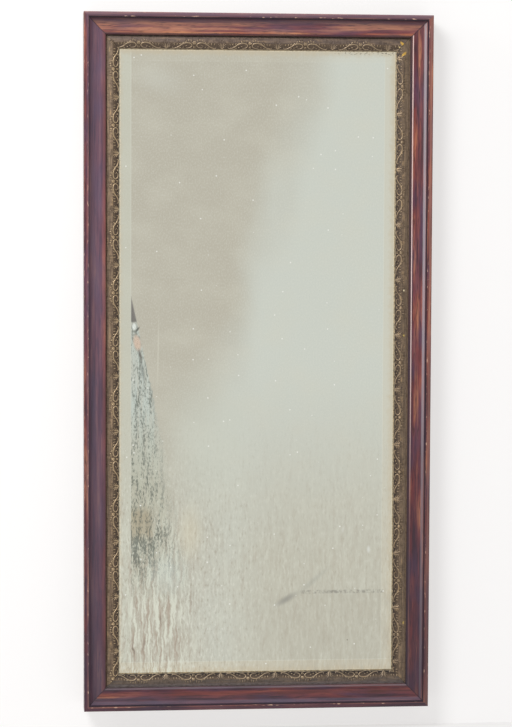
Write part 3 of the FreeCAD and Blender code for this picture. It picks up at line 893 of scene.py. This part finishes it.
def silvered_glass():
    """Plate glass with old silvering: a soft grey-green shine with a painted reflection of the room, painted
    reflections on the bevels, yellowed edges with the liner's painted shadow, drips and flaked silver, and
    brown backing paint behind."""
    material, tree, shader = new_material("aged_silvered_glass")
    at = plate_place(tree)
    skin = silver_with_painted_room(tree, at)
    skin = bevel_reflections(tree, at, skin)
    skin = tarnished_edges_and_liner_shadow(tree, at, skin)
    skin = drips(tree, at, skin)
    skin, lost = lost_silver(tree, at, skin)
    skin = single_marks(tree, at, skin)
    skin = tide_line(tree, at, skin)
    skin = white_specks(tree, at, skin)
    painted = add(tree, RANGE, at.depth, plate_back - 0.4 * mm, plate_back - 0.2 * mm)
    brushing = pattern(tree, at.place, "paint_brushing")
    skin = cover(tree, skin, cover(tree, colour("#3f352e"), "#66594e", brushing), painted)
    unpainted = add(tree, SUBTRACT, 1.0, painted)
    metal = overlap(tree, add(tree, RANGE, lost, 0.0, 1.0, 1.0, 0.4), unpainted)
    shine = add(tree, RANGE, lost, 0.0, 1.0, 0.12, 0.3)
    gloss = add(tree, MULTIPLY_ADD, painted, 0.6, shine)
    give(tree, shader, Base_Color=skin, Metallic=metal, Roughness=gloss, Coat_Weight=0.5,
         Coat_Roughness=0.03)
    return material


# Backing

def aged_pine(seed):
    """Bare softwood gone brown: wandering growth rings along the board and a few darker stains."""
    material, tree, shader = new_material(f"aged_pine_{seed}")
    place = object_place(tree)
    x = add(tree, PARTS, place).outputs["X"]
    across = add(tree, MULTIPLY, x, 2 * math.pi / ring_width)
    wander = pattern(tree, place, "pine_wander", seed)
    phase = add(tree, MULTIPLY_ADD, wander, ring_wander, across)
    rings = add(tree, SINE, phase)
    fibre = pattern(tree, place, "pine_fibre", seed)
    wood = cover(tree, colour("#8c6c48"), "#b5936a", fibre)
    wood = cover(tree, wood, "#6f4d30", add(tree, SMOOTH, rings, 0.0, 1.0, 0.0, 0.45))
    stain = pattern(tree, place, "pine_stain", seed)
    wood = cover(tree, wood, "#5a4836", add(tree, RANGE, stain, 0.5, 0.75, 0.0, 0.5))
    relief = add(tree, BUMP, Height=fibre, Strength=0.3, Distance=0.3 * mm)
    give(tree, shader, Base_Color=wood, Roughness=0.8, Normal=relief)
    return material


def tarnished_steel(name, bright, dull, roughness):
    """Old steel: bright where it is handled, brown tarnish in soft blotches."""
    material, tree, shader = new_material(name)
    amount = add(tree, RANGE, pattern(tree, object_place(tree), "tarnish"), 0.40, 0.65)
    steel = cover(tree, colour(bright), dull, amount)
    gloss = add(tree, RANGE, amount, 0.0, 1.0, roughness, roughness + 0.25)
    metal = add(tree, RANGE, amount, 0.0, 1.0, 1.0, 0.6)
    give(tree, shader, Base_Color=steel, Metallic=metal, Roughness=gloss)
    return material


# Geometry trees

def new_tree(name, inputs):
    """Geometry tree with these named inputs and their kinds, and what its input node gives."""
    tree = bpy.data.node_groups.new(name, "GeometryNodeTree")
    for label, kind in {"Geometry": "Geometry", **inputs, "Material": "Material"}.items():
        tree.interface.new_socket(label, in_out="INPUT", socket_type=f"NodeSocket{kind}")
    tree.interface.new_socket("Geometry", in_out="OUTPUT", socket_type="NodeSocketGeometry")
    return tree, add(tree, "NodeGroupInput").outputs


def finish_tree(tree, given, geometry):
    """Give the geometry its material and end the tree."""
    painted = add(tree, "GeometryNodeSetMaterial", Geometry=geometry, Material=given["Material"])
    add(tree, "NodeGroupOutput", painted)


def joined(tree, *pieces):
    """Several geometries as one."""
    node = add(tree, "GeometryNodeJoinGeometry")
    for piece in pieces:
        tree.links.new(piece.outputs[0], node.inputs[0])
    return node


def grown(points, tree, values):
    """Plain mesh that a tree makes from a mesh, with these values for its named inputs."""
    holder = new_object("holder", points)
    modifier = holder.modifiers.new("grown", "NODES")
    modifier.node_group = tree
    for item in tree.interface.items_tree:
        if item.name in values and item.in_out == "INPUT":
            modifier[item.identifier] = values[item.name]
    mesh = bpy.data.meshes.new_from_object(holder.evaluated_get(bpy.context.evaluated_depsgraph_get()))
    bpy.data.objects.remove(holder)
    return mesh


# Scroll ornament

def spiral(middle, radii, angles, step=12, stretch=1):
    """Points round a turn whose radius changes evenly, stretched along x."""
    count = math.ceil(abs(angles[1] - angles[0]) / step)
    points = []
    for index in range(count + 1):
        share = index / count
        radius = radii[0] + (radii[1] - radii[0]) * share
        angle = math.radians(angles[0] + (angles[1] - angles[0]) * share)
        points.append((middle[0] + stretch * radius * math.cos(angle),
                       middle[1] + radius * math.sin(angle)))
    return points


def scroll_parts():
    """Half a motif's main line: a hooked loop beside the joint, a long S, and a curl beside the palmette."""
    loop_end = motif_length / 2 - joint_gap / 2 - hook_width
    middle = (loop_end - loop_stretch * loop_radius, line_margin + loop_radius)
    reach = (middle[0] - tail_end) / 2
    bend = (reach ** 2 + loop_radius ** 2) / (2 * loop_radius)
    turn = math.degrees(math.asin(reach / bend))
    hook = spiral(middle, (0.8 * loop_radius, loop_radius), (-120, 0), stretch=loop_stretch)
    hook += spiral(middle, (loop_radius, loop_radius), (0, 90), stretch=loop_stretch)[1:]
    bends = spiral((middle[0], line_margin + 2 * loop_radius - bend), (bend, bend), (90, 90 + turn), 3)
    bends += spiral((tail_end, line_margin + bend), (bend, bend), (turn - 90, -90), 3)[1:]
    curl = spiral((tail_end, line_margin + curl_radius), (curl_radius, curl_end), (-90, -220))
    return hook, bends, curl


def closing_in(points, gap):
    """Line that starts a gap below another one and runs into it."""
    last = len(points) - 1
    return [(x, y - gap * (1 - index / last)) for index, (x, y) in enumerate(points)]


def motif_lines():
    """Lines of half a motif with their half widths at the start and the end."""
    hook, bends, curl = scroll_parts()
    inner_tail = closing_in(bends[1:3 * len(bends) // 4], line_spacing)
    lines = [(hook, tail_width, hook_width), (bends + curl[1:], hook_width, tail_width),
             (inner_tail, fine_width, fine_width)]
    for lean, length in palmette:
        swing = math.radians(lean)
        stroke = [(palmette_foot + length * share * math.sin(swing * share),
                   palmette_foot + length * share * math.cos(swing)) for share in (0, 0.25, 0.5, 0.75, 1)]
        lines.append((stroke, 1.2 * tail_width, tail_width))
    return lines


def motif_leaves():
    """Leaves of half a motif: place, direction and length."""
    leaves = [(motif_length / 2 + x * mm, y, angle, length) for x, y, angle, length in joint_leaves]
    leaves += [(x * mm, y, angle, length) for x, y, angle, length in scroll_leaves]
    return [((x, y * mm, 0), math.radians(angle), length * mm) for x, y, angle, length in leaves]


def motif_skeleton():
    """Half a motif as a mesh: edges for its lines, and loose points for its leaves."""
    mesh = bpy.data.meshes.new("motif_skeleton")
    verts = []
    edges = []
    widths = []
    for points, first, last in motif_lines():
        start = len(verts)
        steps = len(points) - 1
        verts += [(x, y, 0) for x, y in points]
        edges += [(start + i, start + i + 1) for i in range(steps)]
        widths += [first + (last - first) * i / steps for i in range(steps + 1)]
    places, turns, lengths = zip(*motif_leaves())
    mesh.from_pydata([*verts, *places], edges, [])
    no_leaf = [0] * len(widths)
    values = {
        "line_width": widths + [0] * len(places),
        "leaf_turn": [*no_leaf, *turns],
        "leaf_length": [*no_leaf, *lengths],
    }
    for name, numbers in values.items():
        mesh.attributes.new(name, "FLOAT", "POINT").data.foreach_set("value", numbers)
    return mesh


def swept_lines(tree, skeleton):
    """Flattened rods along the edges of the skeleton."""
    width = add(tree, ATTRIBUTE, Name="line_width")
    curve = add(tree, "GeometryNodeMeshToCurve", Mesh=skeleton)
    upright = add(tree, UPRIGHT_CURVE, Curve=curve)
    ring = add(tree, "GeometryNodeCurvePrimitiveCircle", Resolution=10, Radius=1.0)
    section = add(tree, TRANSFORM, Geometry=ring, Scale=(1, line_flatness, 1))
    return add(tree, "GeometryNodeCurveToMesh", Curve=upright, Profile_Curve=section, Scale=width,
               Fill_Caps=True)


def set_leaves(tree, skeleton):
    """Tapered leaves on the loose points of the skeleton."""
    ball = add(tree, BALL, Segments=8, Rings=6, Radius=1.0)
    x, y, z = add(tree, PARTS, add(tree, POSITION)).outputs
    along = add(tree, MULTIPLY_ADD, x, 0.5, 0.5)
    tapered = add(tree, MULTIPLY, y, add(tree, RANGE, x, -1.0, 1.0, *leaf_taper))
    across = add(tree, MULTIPLY, tapered, leaf_width)
    raised = add(tree, MULTIPLY, z, leaf_height)
    shape = add(tree, JOIN_PARTS, along, across, raised)
    leaf = add(tree, SET_POSITION, Geometry=ball, Position=shape)
    length = add(tree, ATTRIBUTE, Name="leaf_length")
    turn = add(tree, ATTRIBUTE, Name="leaf_turn")
    is_leaf = add(tree, LARGER, A=length, B=0.0)
    return add(tree, INSTANCES, Points=skeleton, Selection=is_leaf, Instance=leaf, Scale=length,
               Rotation=add(tree, JOIN_PARTS, Z=turn))


def whole_motif(tree, given):
    """Half a motif, its mirror image, and a boss between them."""
    half = joined(tree, swept_lines(tree, given["Geometry"]), set_leaves(tree, given["Geometry"]))
    solid_half = add(tree, REALIZE, Geometry=half)
    other_half = add(tree, TRANSFORM, Geometry=solid_half, Scale=(-1, 1, 1))
    turned_out = add(tree, "GeometryNodeFlipFaces", Mesh=other_half)
    boss = add(tree, BALL, Segments=10, Rings=6, Radius=given["Boss radius"])
    up_band = add(tree, MULTIPLY, given["Band width"], boss_place)
    raised = add(tree, TRANSFORM, Geometry=boss, Translation=add(tree, JOIN_PARTS, Y=up_band))
    return joined(tree, solid_half, turned_out, raised)


def folded(tree, given, run):
    """The run with a flat foot in the ground, folded down over the crest past the band."""
    x, y, z = add(tree, PARTS, add(tree, POSITION)).outputs
    past = add(tree, SUBTRACT, y, given["Band width"])
    past_band = add(tree, MAXIMUM, past, 0.0)
    fold = add(tree, MULTIPLY, past_band, given["Crest fold"])
    foot = add(tree, MAXIMUM, z, -foot_depth)
    low = add(tree, SUBTRACT, foot, fold)
    return add(tree, SET_POSITION, Geometry=run, Position=add(tree, JOIN_PARTS, x, y, low))


def ornament_tree():
    """Lines swept and leaves set on half a motif, which is mirrored and repeated along a side."""
    tree, given = new_tree("scroll_ornament", {
        "Motif length": "Float", "Motif count": "Int", "First middle": "Float", "Crest fold": "Float",
        "Boss radius": "Float", "Band width": "Float"})
    row = add(tree, POINT_ROW, Count=given["Motif count"],
              Start_Location=add(tree, JOIN_PARTS, X=given["First middle"]),
              Offset=add(tree, JOIN_PARTS, X=given["Motif length"]))
    run = add(tree, INSTANCES, Points=row, Instance=whole_motif(tree, given))
    solid_run = add(tree, REALIZE, Geometry=run)
    smooth = add(tree, "GeometryNodeSetShadeSmooth", Geometry=folded(tree, given, solid_run))
    finish_tree(tree, given, smooth)
    return tree


def cut_at_mitres(mesh, half_length, outer):
    """Cut a side's ornament off at its two mitres and close the cuts."""
    work = bmesh.new()
    work.from_mesh(mesh)
    for end in (-1, 1):
        corner = Vector((end * half_length, 0, outer))
        away = Vector((end, 0, -1)).normalized()
        geometry = work.verts[:] + work.edges[:] + work.faces[:]
        cut = bmesh.ops.bisect_plane(work, geom=geometry, plane_co=corner, plane_no=away, clear_outer=True)
        edges = [item for item in cut["geom_cut"] if isinstance(item, bmesh.types.BMEdge)]
        bmesh.ops.edgenet_fill(work, edges=edges)
    work.to_mesh(mesh)
    work.free()


def scroll_ornament(side, tree, skeleton, material):
    """Ornament along one side, set on the sloping band of the liner."""
    half_length = sides[side].half_length
    outer = sides[side].outer
    first_middle = first_joint[side] - (half_length - sight_edge) - motif_length / 2
    while first_middle - motif_length / 2 > -half_length:
        first_middle -= motif_length
    count = math.ceil((half_length - first_middle) / motif_length + 0.5)
    mesh = grown(skeleton, tree, {
        "Motif length": motif_length, "Motif count": count, "First middle": first_middle,
        "Crest fold": crest_fold, "Boss radius": boss_radius, "Band width": band_width, "Material": material})
    along = Vector((1, 0, 0))
    across = Vector((0, band_low - band_high, band_end - band_start)).normalized()
    on_band = Matrix((along, across, along.cross(across))).transposed().to_4x4()
    on_band.translation = Vector((0, -band_low, outer - band_end))
    mesh.transform(on_band)
    cut_at_mitres(mesh, half_length, outer)
    mesh.transform(side_matrix(side))
    piece = new_object(f"scroll_ornament_{side}", mesh)
    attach(piece, "mirror")
    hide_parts(f"scrolls_{side}")


# Hanger screws

def screw_tree():
    """Domed heads with a slot, set on points with a turn of their own."""
    tree, given = new_tree("slotted_screws", {
        "Head radius": "Float", "Head height": "Float", "Slot width": "Float"})
    radius = given["Head radius"]
    height = given["Head height"]
    ball = add(tree, BALL, Segments=24, Rings=12, Radius=1.0)
    x, y, z = add(tree, PARTS, add(tree, POSITION)).outputs
    upper = add(tree, MAXIMUM, z, 0.0)
    dome = add(tree, SET_POSITION, Geometry=ball, Position=add(tree, JOIN_PARTS, x, y, upper))
    head = add(tree, TRANSFORM, Geometry=dome, Scale=add(tree, JOIN_PARTS, radius, radius, height))
    past_head = add(tree, MULTIPLY, radius, 3.0)
    slot = add(tree, JOIN_PARTS, given["Slot width"], past_head, height)
    cutter = add(tree, "GeometryNodeMeshCube", Size=slot)
    raised = add(tree, TRANSFORM, Geometry=cutter, Translation=add(tree, JOIN_PARTS, Z=height))
    slotted = add(tree, CUT_OUT, Mesh_1=head, Mesh_2=raised)
    turn = add(tree, RANDOM, Max=math.pi, Seed=5)
    backwards = add(tree, JOIN_PARTS, X=-math.pi / 2, Y=turn)
    screws = add(tree, INSTANCES, Points=given["Geometry"], Instance=slotted, Rotation=backwards)
    finish_tree(tree, given, add(tree, REALIZE, Geometry=screws))
    return tree


def hanger_screws(material):
    """Slotted heads on both straps, where the solids have their screws."""
    low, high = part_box("hanger_screws")
    spots = [(x, high.y - screw_head, z)
             for x in (low.x + screw_radius, high.x - screw_radius)
             for z in (low.z + screw_radius, high.z - screw_radius)]
    points = bpy.data.meshes.new("screw_points")
    points.from_pydata(spots, [], [])
    mesh = grown(points, screw_tree(), {"Head radius": screw_radius, "Head height": screw_head,
                                        "Slot width": slot_width, "Material": material})
    piece = new_object("slotted_screws", mesh)
    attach(piece, "mirror")
    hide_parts("hanger_screws")


# Stage

def stage_material(name, wall):
    """Pale studio surface that keeps a soft shadow. The wall shows only from its front."""
    material, tree, shader = new_material(name)
    give(tree, shader, Base_Color=colour("#a0a0a0"), Roughness=1.0, Specular_IOR_Level=0.0,
         Emission_Color=colour("#fffdfc"), Emission_Strength=0.59)
    if wall:
        seen = add(tree, "ShaderNodeLightPath").outputs["Is Camera Ray"]
        behind = add(tree, "ShaderNodeNewGeometry").outputs["Backfacing"]
        front = add(tree, SUBTRACT, 1.0, behind)
        clear = add(tree, "ShaderNodeBsdfTransparent")
        mixed = add(tree, "ShaderNodeMixShader", overlap(tree, seen, front), clear, shader)
        tree.links.new(mixed.outputs[0], tree.nodes["Material Output"].inputs["Surface"])
    return material


def panel(name, corners, material):
    """Flat piece of the stage that reflections leave out."""
    mesh = bpy.data.meshes.new(name)
    mesh.from_pydata(corners, [], [range(len(corners))])
    mesh.materials.append(material)
    piece = new_object(name, mesh)
    piece.visible_glossy = False
    piece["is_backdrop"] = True


def stage():
    """Floor below the frame and wall behind it, both far wider than the view."""
    reach = stage_reach
    panel("floor", [(-reach, -reach, floor_height), (reach, -reach, floor_height),
                    (reach, reach, floor_height), (-reach, reach, floor_height)],
          stage_material("pale_floor", False))
    panel("wall", [(-reach, wall_y, floor_height), (reach, wall_y, floor_height),
                   (reach, wall_y, reach), (-reach, wall_y, reach)],
          stage_material("pale_wall", True))


def world():
    """White to the eye and in reflections, and a soft even light on everything else."""
    scene_world = bpy.data.worlds.new("studio")
    bpy.context.scene.world = scene_world
    scene_world.use_nodes = True
    tree = scene_world.node_tree
    background = tree.nodes["Background"]
    path = add(tree, "ShaderNodeLightPath").outputs
    shown = add(tree, MAXIMUM, path["Is Camera Ray"], path["Is Glossy Ray"])
    shown = add(tree, MAXIMUM, shown, path["Is Transmission Ray"])
    give(tree, background, Color=colour("#f7f5f2"), Strength=add(tree, RANGE, shown, 0.0, 1.0, 0.45, 1.0))


def lamp(name, place, size, power):
    """Round lamp aimed at the middle of the frame."""
    light = bpy.data.lights.new(name, "AREA")
    light.shape = "DISK"
    light.size = size
    light.energy = power
    piece = new_object(name, light)
    piece.location = place
    piece.rotation_euler = (centre - Vector(place)).to_track_quat("-Z", "Y").to_euler()


def camera():
    """Camera that sees the frame as the photograph does."""
    data = bpy.data.cameras.new("camera")
    data.lens = focal_length / image_height * data.sensor_width
    piece = new_object("camera", data)
    piece.location = camera_place
    turn = (camera_aim - camera_place).to_track_quat("-Z", "Y") @ Quaternion((0, 0, 1), camera_roll)
    piece.rotation_euler = turn.to_euler()
    bpy.context.scene.camera = piece


def dress(node, material):
    """Give a solid its material."""
    slots = frame["nodes"][node].data.materials
    slots.clear()
    slots.append(material)


bpy.context.scene.view_settings.view_transform = "Standard"
camera()
world()
stage()
for name, (place, size, power) in lamps.items():
    lamp(name, place, size, power)

ornament = ornament_tree()
skeleton = motif_skeleton()
for number, side in enumerate(sides):
    seed = 10.0 * number
    dress(oak_names[side], stained_oak(side, seed))
    dress(f"liner_{side}", gilt_liner(side, seed + 5))
    scroll_ornament(side, ornament, skeleton, gilt_scrolls(side, seed + 6))
dress("mirror_plate", silvered_glass())
for node, seed in pine_seeds.items():
    dress(node, aged_pine(seed))
nail_steel = tarnished_steel("oxidised_nail_steel", "#5b554f", "#3c2c22", 0.45)
for node in ("backboard_nails", "liner_brads", "mitre_nails"):
    dress(node, nail_steel)
hanger_steel = tarnished_steel("plated_hanger_steel", "#a8a297", "#5f5443", 0.28)
for node in ("hanger_strap_left", "hanger_strap_right", "hanger_ring_left", "hanger_ring_right"):
    dress(node, hanger_steel)
hanger_screws(hanger_steel)

size = {"cad": [list(corner) for corner in cad_box], "visual": [list(corner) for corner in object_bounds()]}
